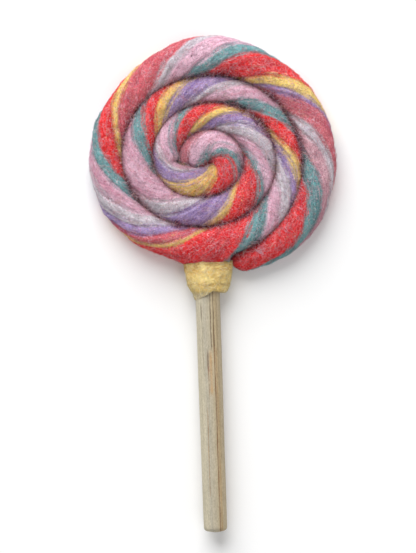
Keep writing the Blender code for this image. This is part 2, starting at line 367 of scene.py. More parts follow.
def coil_radius(quarter):
    return at_quarter(COIL_RADII_MM, quarter) * MM - rim_trim(quarter) / 2


def full_half_width(quarter):
    """Half width of the rope, its rounded ends left out."""
    return (at_quarter(ROPE_WIDTHS_MM, quarter) * MM - rim_trim(quarter)) / 2


def bearing_at(quarter):
    return np.radians(90 * quarter - 180) + SWIRL_TURN


def coil_out(quarter):
    """Direction from the swirl's middle out to the coil."""
    return stacked(np.sin(bearing_at(quarter)), np.cos(bearing_at(quarter)))


def squash_at(distance):
    """How much of its full height the rope has at this distance from the swirl's middle."""
    return MIDDLE_SQUASH + (RIM_SQUASH - MIDDLE_SQUASH) * np.minimum(distance / SWIRL_RADIUS, 1)


def measure_coil():
    """Length of the rope up to finely spaced places on the coil."""
    quarters = np.linspace(FIRST_QUARTER, LAST_QUARTER, COIL_STEPS)
    places = coil_radius(quarters)[:, None] * coil_out(quarters)
    steps = np.linalg.norm(np.diff(places, axis=0), axis=1)
    return quarters, np.concatenate(((0.0,), np.cumsum(steps)))


COIL_QUARTERS, COIL_LENGTHS = measure_coil()
ROPE_LENGTH = COIL_LENGTHS[-1]


def length_at(quarter):
    return np.interp(quarter, COIL_QUARTERS, COIL_LENGTHS)


def quarter_at(length):
    return np.interp(length, COIL_LENGTHS, COIL_QUARTERS)


def tip_share(quarter):
    """How much of its full width the rope has here: all of it except at its rounded ends."""
    length = length_at(quarter)
    inner = 1 - np.minimum(length / INNER_TIP, 1)
    outer = 1 - np.minimum((ROPE_LENGTH - length) / OUTER_TIP, 1)
    return np.sqrt(np.maximum(1 - inner * inner, 0)) * np.sqrt(np.maximum(1 - outer * outer, 0))


def half_width(quarter):
    there = (quarter >= FIRST_QUARTER) & (quarter <= LAST_QUARTER)
    return np.where(there, full_half_width(quarter) * tip_share(quarter), 0)


def reach_at(quarter, side):
    """How far the rope reaches outwards, side 1, or inwards, -1, and whether the turn there presses on it."""
    edge = coil_radius(quarter) + side * half_width(quarter)
    other = quarter + 4 * side
    other_edge = coil_radius(other) - side * half_width(other)
    pressed = (other >= FIRST_QUARTER) & (other <= LAST_QUARTER) & (side * other_edge < side * edge)
    border = np.where(pressed, (edge + other_edge) / 2 - side * GROOVE_SLIT / 2, edge)
    return np.maximum(side * (border - coil_radius(quarter)), 0), pressed


def twist_at(quarter):
    turns = (90 * quarter - 180) / 360
    return TWIST_START + TWIST_STEADY * turns + TWIST_TIGHTENING * turns * turns


def strand_run(quarter, around):
    """Turns of the twist at a place on the rope: it stays the same along each hair of the strands."""
    return twist_at(quarter) + (around - 90) / 360


def strand_place(quarter, around):
    """The place that it would have on the untwisted rope, shortened along it so that noise makes streaks."""
    angle = 2 * math.pi * strand_run(quarter, around)
    length = length_at(quarter) * STREAK_STRETCH
    return stacked(STRAND_RADIUS * np.cos(angle), STRAND_RADIUS * np.sin(angle), length)


def crest_degrees(quarter, around, rags=True):
    """Where the stripe at this place of the rope crosses its crest, in degrees along the coil."""
    lean = np.interp(quarter, LEAN_QUARTERS, LEAN_DEGREES)
    degrees = 90 * quarter - 180 + lean * (around - 90) / 90
    if rags:
        offset = lumps(strand_place(quarter, around), BORDER_RAGS)
        degrees = degrees + np.degrees(offset / np.maximum(coil_radius(quarter), 3 * MM))
    return degrees


def stripe_at(quarter, around, rags=True):
    """Number of the stripe here, of the stripe beyond its nearer border, and the distance to that border."""
    degrees = crest_degrees(quarter, around, rags)
    last = len(STRIPE_STARTS) - 1
    own = np.clip(np.searchsorted(STRIPE_STARTS, degrees, side="right") - 1, 0, last)
    to_start = degrees - STRIPE_STARTS[own]
    to_end = np.where(own < last, STRIPE_STARTS[np.minimum(own + 1, last)] - degrees, np.inf)
    beyond = np.where(to_start < to_end, np.maximum(own - 1, 0), np.minimum(own + 1, last))
    span = np.radians(np.minimum(to_start, to_end)) * coil_radius(quarter)
    return own, beyond, span


def stripe_tones(stripes, tone_number):
    """Linear colours of these stripes' wool: its main tone, 0, or that of its streaks, 1."""
    return linear([WOOLS[name][tone_number] for name, _ in CREST_STRIPES])[stripes]


def strand_valleys(quarter, around):
    """Depth of the shallow valleys between strands of different wool."""
    _, _, span = stripe_at(quarter, around, rags=False)
    depth = STRAND_VALLEY * smooth_step(*NOSE_END, quarter)
    return depth * np.exp(-((span / STRAND_VALLEY_WIDTH) ** 2))


def rim_dents(quarter, around):
    """Depth of the soft dents on the rope's outer side."""
    depth = 0
    for middle, reach, deepest in RIM_DENTS:
        depth = depth + deepest * MM * np.exp(-(((quarter - middle) / reach) ** 2))
    return depth * smooth_step(*DENT_AROUND, around)


def rope_surface(quarter, around):
    """Points on the rope's skin, and how far each lies from a groove or the dimple, which sets the painted
    shade there.
    """
    quarter, around = np.broadcast_arrays(np.asarray(quarter, float), np.asarray(around, float))
    half = half_width(quarter)
    full_half = full_half_width(quarter)
    tip = tip_share(quarter)
    out = coil_out(quarter)
    place = coil_radius(quarter)[..., None] * out
    across = np.cos(np.radians(around))
    upward = np.sin(np.radians(around))
    rise = full_half - REST_DEPTH

    rough = raised(place + (half * across)[..., None] * out, rise + half * upward)
    skin = half + tip * (lumps(rough, ROPE_LUMPS) - strand_valleys(quarter, around))
    skin = skin - rim_dents(quarter, around)

    reach_out, pressed_out = reach_at(quarter, 1)
    reach_in, pressed_in = reach_at(quarter, -1)
    outward = np.minimum(skin * across, np.where(pressed_out, reach_out, np.inf))
    free_place = place + np.maximum(outward, 0)[..., None] * out

    # Inwards the section runs to its border with the turn before, or to the seam in the middle.
    leaving = smooth_step(*SEAM_LEAVES, quarter)
    knots, seam_x, seam_y = SEAM_MM.T
    seam = stacked(np.interp(quarter, knots, seam_x), np.interp(quarter, knots, seam_y)) * MM
    to_place = place - seam
    distance = np.linalg.norm(to_place, axis=-1)
    seam = seam + to_place * (DIMPLE_RADIUS / np.maximum(distance, DIMPLE_RADIUS))[..., None]
    seam = place + (seam - place) * smooth_step(0, SEAM_STARTS, tip)[..., None]
    at_border = place - reach_in[..., None] * out
    anchor = seam + (at_border - seam) * leaving[..., None]
    anchor_reach = np.maximum(np.linalg.norm(anchor - place, axis=-1), 1e-9)
    inner_skin = skin + (anchor_reach - half) * (1 - leaving)
    limit = np.where(pressed_in | (leaving < 1), anchor_reach, np.inf)
    inward = np.minimum(np.maximum(-inner_skin * across, 0), limit)
    inner_place = place + (anchor - place) * (inward / anchor_reach)[..., None]
    flat = np.where((across >= 0)[..., None], free_place, inner_place)

    height = np.maximum((rise + skin * upward) * squash_at(np.linalg.norm(flat, axis=-1)), 0)
    points = raised(flat + MIDDLE, height)

    room_out = np.where(pressed_out & (across > 0), reach_out - outward, np.inf)
    room_in = np.where((pressed_in | (leaving < 1)) & (across < 0), anchor_reach - inward, np.inf)
    room_dimple = np.maximum(np.linalg.norm(flat - DIMPLE, axis=-1) - DIMPLE_ROOM, 0)
    # Where the groove's painted shade is fainter, its skin counts as farther out of it.
    groove = np.where(across < 0, quarter, quarter + 4)
    strength = np.interp(groove, *GROOVE_SHADE_STRENGTHS.T)
    return points, np.minimum(np.minimum(room_out, room_in) + GROOVE_FADING * (1 - strength), room_dimple)


def rope_normal(quarter, around):
    """Direction straight out of the rope, away from its middle line."""
    across = np.cos(np.radians(around))
    return raised(coil_out(quarter) * across[..., None], np.sin(np.radians(around)))


def deselect_all():
    if bpy.context.object and bpy.context.object.mode != "OBJECT":
        bpy.ops.object.mode_set(mode="OBJECT")
    bpy.ops.object.select_all(action="DESELECT")


def rolled_sheet(name, columns, rows):
    """A flat sheet of wool or wood, ready to be rolled up: its object and each corner's column and row."""
    deselect_all()
    bpy.ops.mesh.primitive_grid_add(x_subdivisions=columns, y_subdivisions=rows, size=1)
    sheet = bpy.context.object
    sheet.name = name
    sheet.data.name = name
    flat = np.empty(len(sheet.data.vertices) * 3)
    sheet.data.vertices.foreach_get("co", flat)
    column = np.rint((flat[0::3] + 0.5) * columns).astype(int)
    row = np.rint((flat[1::3] + 0.5) * rows).astype(int)
    return sheet, column, row


def place_corners(piece, places):
    piece.data.vertices.foreach_set("co", places.astype(np.float32).ravel())
    piece.data.update()


def lay_out(piece, name, across, along):
    """UV map from one value across and one along for each corner of the mesh."""
    layer = piece.data.uv_layers.new(name=name)
    corner = np.empty(len(piece.data.loops), int)
    piece.data.loops.foreach_get("vertex_index", corner)
    layer.data.foreach_set("uv", stacked(across[corner], along[corner]).astype(np.float32).ravel())


def tint(piece, name, colours):
    """Linear colour for each corner point of the mesh, as an attribute of this name."""
    layer = piece.data.attributes.new(name, "FLOAT_COLOR", "POINT")
    full = np.ones((len(colours), 4), np.float32)
    full[:, :3] = colours
    layer.data.foreach_set("color", full.ravel())


def open_for_editing(piece):
    deselect_all()
    piece.select_set(True)
    bpy.context.view_layer.objects.active = piece
    bpy.ops.object.mode_set(mode="EDIT")


def close_up(piece):
    """Joins the edges of a rolled sheet and turns its faces outwards."""
    open_for_editing(piece)
    bpy.ops.mesh.select_all(action="SELECT")
    bpy.ops.mesh.remove_doubles(threshold=0.001 * MM)
    bpy.ops.mesh.select_all(action="SELECT")
    bpy.ops.mesh.normals_make_consistent(inside=False)
    bpy.ops.object.mode_set(mode="OBJECT")
    bpy.ops.object.shade_smooth()
    deselect_all()


def make_rope():
    """Rope rolled from a sheet, laid along the coil with a rounded tip at both ends."""
    swing = np.linspace(0, math.pi / 2, TIP_RINGS + 1)
    inner_tip = INNER_TIP * (1 - np.cos(swing))
    outer_tip = ROPE_LENGTH - OUTER_TIP * (1 - np.cos(swing[::-1]))
    body_rings = int((ROPE_LENGTH - INNER_TIP - OUTER_TIP) / RING_STEP)
    body = np.linspace(INNER_TIP, ROPE_LENGTH - OUTER_TIP, body_rings + 1)
    lengths = np.concatenate((inner_tip[:-1], body, outer_tip[1:]))
    under_out = np.linspace(UNDER_START, TOP_START, UNDER_SIDES + 1)
    top = np.linspace(TOP_START, TOP_END, TOP_SIDES + 1)
    under_in = np.linspace(TOP_END, UNDER_END, UNDER_SIDES + 1)
    angles = np.concatenate((under_out[:-1], top, under_in[1:]))

    rope, column, row = rolled_sheet("twisted_wool_rope", len(angles) - 1, len(lengths) - 1)
    length = lengths[row]
    quarter = quarter_at(length)
    around = angles[column]
    # The first and the last column are the same line underneath the rope.
    lengthwise = np.where(around == UNDER_END, UNDER_START, around)
    points, room = rope_surface(quarter, lengthwise)
    place_corners(rope, points)
    own, beyond, span = stripe_at(quarter, lengthwise)
    tint(rope, "wool", stripe_tones(own, 0))
    tint(rope, "streak_wool", stripe_tones(own, 1))
    tint(rope, "next_wool", stripe_tones(beyond, 0))
    lay_out(rope, "strand_run", strand_run(quarter, around), length / MM)
    mingling = MINGLING * (NOSE_MINGLING + (1 - NOSE_MINGLING) * smooth_step(*NOSE_END, quarter))
    # Nearness to a stripe's border, which mingles the wools and sets painted shade along it, and room from a
    # groove, which sets the painted shade in it
    lay_out(rope, "nearness", np.exp(-span / mingling), np.minimum(room / GROOVE_ROOM, 1))
    close_up(rope)
    return rope


def rope_rim(x, z):
    """Y of the rope's outer skin at this side and height, below the swirl's middle."""
    side = x - MIDDLE[0]
    below = np.full_like(side, RIM_START)
    for _ in range(RIM_STEPS):
        angle = np.degrees(np.arctan2(side, -below) - SWIRL_TURN) % 360
        quarter = np.where(angle < 180, angle + 1080, angle + 720) / 90 + 2
        quarter = np.where(quarter > RIM_HANDOVER, quarter - 4, quarter)
        half = half_width(quarter)
        squash = squash_at(coil_radius(quarter))
        rise = (half - REST_DEPTH) * squash
        level = np.clip((z - rise) / (half * squash), -RIM_EDGE, RIM_EDGE)
        reach = coil_radius(quarter) + half * np.sqrt(1 - level * level)
        below = np.sqrt(np.maximum(reach * reach - side * side, 0))
    return MIDDLE[1] - below


def collar_half(height):
    """Half width and half thickness of the collar at this height above its foot."""
    heights, widths, thicknesses = COLLAR_RINGS_MM.T * MM
    return np.interp(height, heights, widths) / 2, np.interp(height, heights, thicknesses) / 2


def collar_surface(share, angle):
    """Points on the outer skin of the collar, from its foot, 0, to the swirl, 1."""
    top_half, top_thick = collar_half(np.full_like(share, COLLAR_TOP_HEIGHT))
    top_x = COLLAR_X + top_half * np.cos(angle)
    top_z = DOWEL_Z + top_thick * np.sin(angle)
    top = rope_rim(top_x, top_z) + COLLAR_SINK
    droop = COLLAR_DROOP * smooth_step(*DROOPING_SIDE, np.cos(angle))
    foot = COLLAR_FOOT_Y - droop
    y = foot + (top - foot) * share
    half, thick = collar_half(y - COLLAR_FOOT_Y)
    climb = np.minimum((y - foot) / COLLAR_FOOT_ROUNDING, 1)
    pinch = 0.5 * COLLAR_FOOT_ROUNDING * (1 - np.sqrt(1 - (1 - climb) ** 2))
    rough = stacked(COLLAR_X + half * np.cos(angle), y, DOWEL_Z + thick * np.sin(angle))
    swell = lumps(rough, COLLAR_LUMPS) - pinch
    x = COLLAR_X + (half + swell) * np.cos(angle)
    z = DOWEL_Z + (thick + swell) * np.sin(angle)
    y = y + lumps(rough, COLLAR_FOOT_WAVES) * (1 - share) ** 4
    return stacked(x, y, np.maximum(z, FLOOR_ROOM))


def dowel_radius(y):
    share = (y - DOWEL_LOW.y) / (DOWEL_HIGH.y - DOWEL_LOW.y)
    return DOWEL_FOOT_RADIUS + (DOWEL_TOP_RADIUS - DOWEL_FOOT_RADIUS) * share


def make_collar():
    """Felt cuff: an outer wall from its rounded foot up to the rope, and an inner wall on the dowel."""
    rings = COLLAR_OUTER_RINGS + 1
    collar, column, row = rolled_sheet("felt_collar_cuff", COLLAR_SIDES, rings)
    angle = 2 * math.pi * (column % COLLAR_SIDES) / COLLAR_SIDES
    share = np.clip((row - 1) / (COLLAR_OUTER_RINGS - 1), 0, 1)
    points = collar_surface(share ** COLLAR_RING_SPACING, angle)
    inner = (row == 0) | (row == rings)
    room = dowel_radius(points[:, 1]) + DOWEL_PLAY
    bore = stacked(DOWEL_X + room * np.cos(angle), points[:, 1], DOWEL_Z + room * np.sin(angle))
    bore[:, 1] += np.where(row == 0, BORE_RIM, 0)
    points = np.where(inner[:, None], bore, points)
    place_corners(collar, points)
    join_rims(collar)
    close_up(collar)
    return collar


def join_rims(piece):
    """Bridges the first and the last row of a rolled sheet, so that it becomes a closed ring."""
    close_up(piece)
    open_for_editing(piece)
    bpy.ops.mesh.select_mode(type="EDGE")
    bpy.ops.mesh.select_all(action="DESELECT")
    bpy.ops.mesh.select_non_manifold(
        extend=False, use_wire=False, use_multi_face=False, use_non_contiguous=False, use_verts=False
    )
    bpy.ops.mesh.bridge_edge_loops()
    bpy.ops.mesh.select_mode(type="VERT")
    bpy.ops.object.mode_set(mode="OBJECT")


def make_dowel():
    """Turned stick with worn rims, slightly out of round, closed at both ends."""
    caps = DOWEL_CAP_RINGS
    rings = DOWEL_RINGS + 2 * caps
    dowel, column, row = rolled_sheet("wooden_dowel", DOWEL_SIDES, rings)
    angle = 2 * math.pi * (column % DOWEL_SIDES) / DOWEL_SIDES
    low, high = DOWEL_LOW.y, DOWEL_HIGH.y
    share = np.clip((row - caps) / DOWEL_RINGS, 0, 1)
    y = low + DOWEL_ROUNDING + (high - low - 2 * DOWEL_ROUNDING) * share
    radius = dowel_radius(y)
    # Towards each end the rings first turn over the rim and then close over the end grain.
    foot_turn = np.clip((caps - row) / (caps / 2), 0, 1) * math.pi / 2
    top_turn = np.clip((row - caps - DOWEL_RINGS) / (caps / 2), 0, 1) * math.pi / 2
    turn = foot_turn + top_turn
    y += DOWEL_ROUNDING * (np.sin(top_turn) - np.sin(foot_turn))
    radius = radius - DOWEL_ROUNDING * (1 - np.cos(turn))
    closing = np.clip(np.maximum(caps / 2 - row, row - rings + caps / 2) / (caps / 2), 0, 1)
    radius = radius * (1 - closing)
    outwards = np.where(row < rings / 2, -1, 1)
    y += outwards * DOWEL_FOOT_CROWN * (1 - (1 - closing) ** 2)
    rim = stacked(radius * np.cos(angle), y, radius * np.sin(angle))
    wear = lumps(rim * (1, WEAR_STRETCH, 1), DOWEL_WEAR)
    chips = np.maximum(lumps(rim, DOWEL_CHIPS), 0) * np.sin(np.minimum(turn, math.pi / 2))
    radius = np.maximum(radius + (wear - chips) * (1 - closing), 0)
    points = stacked(DOWEL_X + radius * np.cos(angle), y, DOWEL_Z + radius * np.sin(angle))
    place_corners(dowel, points)
    close_up(dowel)
    return dowel


def spin_fibres(name, paths, thickness, tones, shares):
    """One mesh of hairs along paths of stations, three-sided and pointed at both ends, each in its own tone.

    The shares say how much every station lies in the open, 1, or down in a groove, 0, which sets the painted
    shade of its tone.
    """
    count, stations, _ = paths.shape
    heading = np.gradient(paths, axis=1)
    heading /= np.maximum(np.linalg.norm(heading, axis=-1, keepdims=True), 1e-12)
    up = np.zeros_like(heading)
    up[..., 2] = 1
    up[np.abs(heading[..., 2]) > 0.9] = (1, 0, 0)
    side = np.cross(heading, up)
    side /= np.maximum(np.linalg.norm(side, axis=-1, keepdims=True), 1e-12)
    over = np.cross(side, heading)
    middle = np.linspace(0, 1, stations)[1:-1]
    taper = TIP_THICKNESS + (1 - TIP_THICKNESS) * np.sin(math.pi * middle)
    radius = (thickness / 2)[:, None] * taper[None, :]
    corners = []
    for turn in (0, 2 * math.pi / 3, 4 * math.pi / 3):
        spoke = side[:, 1:-1] * math.cos(turn) + over[:, 1:-1] * math.sin(turn)
        corners.append(paths[:, 1:-1] + spoke * radius[..., None])
    rings = np.stack(corners, axis=2).reshape(count, -1, 3)
    points = np.concatenate((paths[:, :1], rings, paths[:, -1:]), axis=1)
    each = points.shape[1]

    faces = [(0, 1 + side_no, 1 + (side_no + 1) % 3) for side_no in range(3)]
    for ring in range(stations - 3):
        for side_no in range(3):
            after = (side_no + 1) % 3
            low, high = 1 + 3 * ring, 4 + 3 * ring
            faces.append((low + side_no, high + after, low + after))
            faces.append((low + side_no, high + side_no, high + after))
    last_ring = each - 4
    faces += [(each - 1, last_ring + (side_no + 1) % 3, last_ring + side_no) for side_no in range(3)]
    faces = np.array(faces)[None] + (np.arange(count) * each)[:, None, None]

    mesh = bpy.data.meshes.new(name)
    mesh.from_pydata(points.reshape(-1, 3), [], faces.reshape(-1, 3))
    mesh.shade_smooth()
    fibres = bpy.data.objects.new(name, mesh)
    bpy.context.scene.collection.objects.link(fibres)
    tint(fibres, "hair", station_tones(tones, shares))
    return fibres


def station_tones(tones, shares):
    """Tone at every corner point of hairs with one tone each, darkened as painted shade by its station's
    share in the open.
    """
    shade = np.array(GROOVE_SHADE) + (1 - np.array(GROOVE_SHADE)) * shares[..., None]
    full = tones[:, None] * shade
    full = np.concatenate((full[:, :1], np.repeat(full[:, 1:-1], 3, axis=1), full[:, -1:]), axis=1)
    return full.reshape(-1, 3)


def hair_tones(draw, own, pale, most_pale):
    """Tones of single hairs: that of the wool, lighter or darker, and paler by a share that differs."""
    count = len(own)
    share = most_pale * draw.random(count)[:, None] ** 3
    strength = draw.uniform(*HAIR_STRENGTHS, count)[:, None]
    return (own * (1 - share) + np.array(pale) * share) * strength


def walk_on_rope(draw, count, lengths, spread, curl):
    """Paths over the rope's skin that set out along its strands, each turned off them and curled a little."""
    quarters = quarter_at(draw.uniform(HAIR_END_ROOM, ROPE_LENGTH - HAIR_END_ROOM, count))
    around = draw.uniform(*HAIRY_AROUND, count)
    half = np.maximum(half_width(quarters), 0.5 * MM)
    rate = 90 / np.interp(quarters, LEAN_QUARTERS, LEAN_DEGREES)
    twist_per_length = rate / (2 * np.pi * np.maximum(coil_radius(quarters), MM))
    heading = np.arctan2(-2 * np.pi * half * twist_per_length, 1) + draw.normal(0, spread, count)
    heading += either_way(draw, count)
    bend = draw.normal(0, curl, count)
    step = lengths / (FUZZ_STATIONS - 1)
    length = length_at(quarters)
    walked = [(quarter_at(length), around)]
    for station in range(1, FUZZ_STATIONS):
        course = heading + bend * station / (FUZZ_STATIONS - 1)
        turn_radius = coil_radius(quarter_at(length))
        here_radius = np.maximum(turn_radius + half * np.cos(np.radians(around)), MM)
        forward = step * np.cos(course) * np.maximum(turn_radius, MM) / here_radius
        length = np.clip(length + forward, 0, ROPE_LENGTH)
        around = around + np.degrees(step * np.sin(course) / half)
        walked.append((quarter_at(length), around))
    return [np.stack(values, axis=1) for values in zip(*walked)]


def standing_off(draw, lifts, count):
    """How far hairs lie above the felt at their stations: rooted in it, with one end standing off."""
    rise = draw.uniform(*lifts, count)[:, None] * MM
    arch = np.sin(math.pi * np.linspace(0, 1, FUZZ_STATIONS) * ARCH_END)
    return (rise + ROOT_DEPTH) * arch - ROOT_DEPTH


def rope_fuzz(name, seed, count, lengths, lifts, spread, curl, thickness, pale):
    """Short hairs of the rope's own wool, more or less along its strands."""
    draw = np.random.default_rng(seed)
    long = draw.uniform(*lengths, count) * MM
    quarter, around = walk_on_rope(draw, count, long, spread, curl)
    points, room = rope_surface(quarter, around)
    points = points + rope_normal(quarter, around) * standing_off(draw, lifts, count)[..., None]
    points += draw.normal(0, HAIR_SCATTER, points.shape)
    points[..., 2] = np.maximum(points[..., 2], HAIR_FLOOR_ROOM)
    own, _, _ = stripe_at(quarter[:, 0], around[:, 0])
    tones = hair_tones(draw, stripe_tones(own, 0), tone(*PALE_HAIR), pale)
    # Hairs near a groove get painted shade.
    shares = smooth_step(0, SHADED_ROOM, room)
    return spin_fibres(name, points, draw.uniform(*thickness, count) * MM, tones, shares)


def swirl_top(x, y):
    """Height of the swirl's upper side at places seen from above, 0 beside it."""
    flat = stacked(x, y) - MIDDLE
    distance = np.linalg.norm(flat, axis=-1)
    turned = np.degrees(np.arctan2(flat[..., 0], flat[..., 1]) - SWIRL_TURN) % 360
    highest = np.zeros_like(distance)
    for turn in range(5):
        quarter = turned / 90 + 2 + 4 * (turn - 1)
        inside = (quarter > FIRST_QUARTER) & (quarter < LAST_QUARTER)
        quarter = np.clip(quarter, FIRST_QUARTER, LAST_QUARTER)
        half = np.maximum(half_width(quarter), 1e-6)
        off = distance - coil_radius(quarter)
        in_middle = (off < 0) & (quarter < SEAM_LEAVES[0])
        stretched = np.where(in_middle, np.maximum(coil_radius(quarter), half), half)
        level = np.clip(off / stretched, -1, 1)
        around = np.degrees(np.arccos(level))
        points, _ = rope_surface(quarter, around)
        here = np.where(inside & (np.abs(off) < stretched), points[..., 2], 0)
        highest = np.maximum(highest, here)
    return highest


def lay_hairs(name, draw, x, y, heading, lengths, curl, lifts, thickness, tones):
    """Hairs lying over the swirl from these places in these directions, taut over the grooves."""
    sway = draw.normal(0, HAIR_SWAY, len(x))
    shares = np.linspace(0, 1, HAIR_STEPS + 1)
    step = lengths * MM / HAIR_STEPS
    laid = [(x, y)]
    for share in shares[1:]:
        course = heading + curl * (share - 0.5) + sway * math.sin(2 * math.pi * share)
        x = x + step * np.sin(course)
        y = y + step * np.cos(course)
        laid.append((x, y))
    xs, ys = (np.stack(values, axis=1) for values in zip(*laid))
    height = swirl_top(xs, ys)
    kept = height.min(axis=1) > LOWEST_HAIR
    xs, ys, height, tones = xs[kept], ys[kept], height[kept], tones[kept]
    taut = height.copy()
    for _ in range(TAUT_STEPS):
        taut[:, 1:-1] = np.maximum(taut[:, 1:-1], (taut[:, :-2] + taut[:, 2:]) / 2 - HAIR_SAG)
    rise = draw.uniform(*lifts, len(taut))[:, None] * MM
    taut += (rise + END_DEPTH) * np.sin(math.pi * shares) - END_DEPTH
    # Hairs that lie low, down towards the grooves, get painted shade.
    open_shares = smooth_step(*SHADED_HEIGHTS, taut)
    thick = draw.uniform(*thickness, len(taut)) * MM
    return spin_fibres(name, stacked(xs, ys, taut), thick, tones, open_shares)


def stray_tones(draw, count):
    """Tones of loose hairs: mostly pale pink, some rose, cream, lilac or grey."""
    chosen = linear(STRAY_HAIRS)[draw.choice(len(STRAY_HAIRS), count, p=STRAY_SHARES)]
    return chosen * draw.uniform(*STRAY_STRENGTHS, count)[:, None]


def stray_hairs(name, seed, count, lengths, lifts, thickness, spread):
    """Long loose hairs all over the swirl, many of them along its strands."""
    draw = np.random.default_rng(seed)
    distance = np.sqrt(draw.uniform(0, 1, count)) * STRAY_REACH
    bearing = draw.uniform(0, 2 * math.pi, count)
    x = MIDDLE[0] + distance * np.sin(bearing)
    y = MIDDLE[1] + distance * np.cos(bearing)
    # Across the rope from its inner to its outer side the strands run clockwise.
    heading = bearing + math.radians(STRAND_BEARING) + draw.normal(0, spread, count)
    heading += either_way(draw, count)
    long = draw.uniform(*lengths, count)
    curl = draw.normal(0, STRAY_CURL, count)
    return lay_hairs(name, draw, x, y, heading, long, curl, lifts, thickness, stray_tones(draw, count))


def groove_hairs(name, seed, count, lengths, lifts, thickness, spread):
    """Hairs that bridge the grooves between neighbouring turns."""
    draw = np.random.default_rng(seed)
    quarter = quarter_at(draw.uniform(*length_at(BRIDGED_QUARTERS), count))
    reach, _ = reach_at(quarter, -1)
    place = (coil_radius(quarter) - reach)[:, None] * coil_out(quarter) + MIDDLE
    heading = bearing_at(quarter) + draw.normal(0, spread, count)
    heading += either_way(draw, count)
    long = draw.uniform(*lengths, count)
    back = draw.uniform(*BRIDGE_STARTS, count) * long * MM
    x = place[:, 0] - back * np.sin(heading)
    y = place[:, 1] - back * np.cos(heading)
    curl = draw.normal(0, BRIDGE_CURL, count)
    return lay_hairs(name, draw, x, y, heading, long, curl, lifts, thickness, stray_tones(draw, count))


def tuft(name, seed, places, spread, count, lengths, bearing, tones, thickness):
    """Small clumps of hairs that all lie nearly the same way."""
    draw = np.random.default_rng(seed)
    middle = np.array(places)[draw.integers(0, len(places), count)] * MM + MIDDLE
    x, y = (middle + draw.normal(0, spread * MM, (count, 2))).T
    heading = math.radians(bearing) + draw.normal(0, TUFT_SPREAD, count)
    long = draw.uniform(*lengths, count)
    own = linear(tones)[draw.integers(0, len(tones), count)]
    curl = draw.normal(0, TUFT_CURL, count)
    return lay_hairs(name, draw, x, y, heading, long, curl, TUFT_LIFTS, thickness, own)


def collar_fuzz(name, seed, count, lengths, lifts, thickness):
    """Short felted hairs on the collar, lying in all directions."""
    draw = np.random.default_rng(seed)
    share = draw.uniform(*COLLAR_HAIR_SHARES, count)
    angle = draw.uniform(0, 2 * math.pi, count)
    heading = draw.uniform(0, 2 * math.pi, count)
    step = draw.uniform(*lengths, count) * MM / (FUZZ_STATIONS - 1)
    length = MIDDLE[1] - COLLAR_TOP_BELOW_MIDDLE - COLLAR_FOOT_Y
    laid = [(share, angle)]
    for _ in range(1, FUZZ_STATIONS):
        course = heading + draw.normal(0, COLLAR_HAIR_CURL, count)
        share = np.clip(share + step * np.cos(course) / length, 0, 1)
        angle = angle + step * np.sin(course) / COLLAR_MEAN_RADIUS
        laid.append((share, angle))
    shares, angles = (np.stack(values, axis=1) for values in zip(*laid))
    points = collar_surface(shares, angles)
    spoke = stacked(np.cos(angles), 0.0, np.sin(angles))
    points = points + spoke * standing_off(draw, lifts, count)[..., None]
    points[..., 2] = np.maximum(points[..., 2], HAIR_FLOOR_ROOM)
    own = linear(COLLAR_HAIRS)[draw.integers(0, len(COLLAR_HAIRS), count)]
    tones = own * draw.uniform(*COLLAR_HAIR_STRENGTHS, count)[:, None]
    return spin_fibres(name, points, draw.uniform(*thickness, count) * MM, tones, np.ones(shares.shape))


NOISE_SOCKETS = ("Vector", "Scale", "Detail", "Roughness", "Distortion")


class Wire:
    """A value on its way between nodes. Arithmetic on it adds Math nodes."""

    def __init__(self, finish, socket):
        self.finish = finish
        self.socket = socket

    def maths(self, operation, *others):
        return self.finish.maths(operation, self, *others)

    def __add__(self, other):
        return self.maths("ADD", other)

    __radd__ = __add__

    def __sub__(self, other):
        return self.maths("SUBTRACT", other)

    def __rsub__(self, other):
        return self.finish.maths("SUBTRACT", other, self)

    def __mul__(self, other):
        return self.maths("MULTIPLY", other)

    __rmul__ = __mul__

    def __truediv__(self, other):
        return self.maths("DIVIDE", other)

    def __abs__(self):
        return self.maths("ABSOLUTE")

    def sine(self):
        return self.maths("SINE")

    def cosine(self):
        return self.maths("COSINE")

    def between(self, low, high):
        """0 below low, 1 above high, and a soft rise between them."""
        return self.finish.add(
            "ShaderNodeMapRange",
            {"interpolation_type": "SMOOTHSTEP"},
            {"Value": self, "From Min": low, "From Max": high},
        )


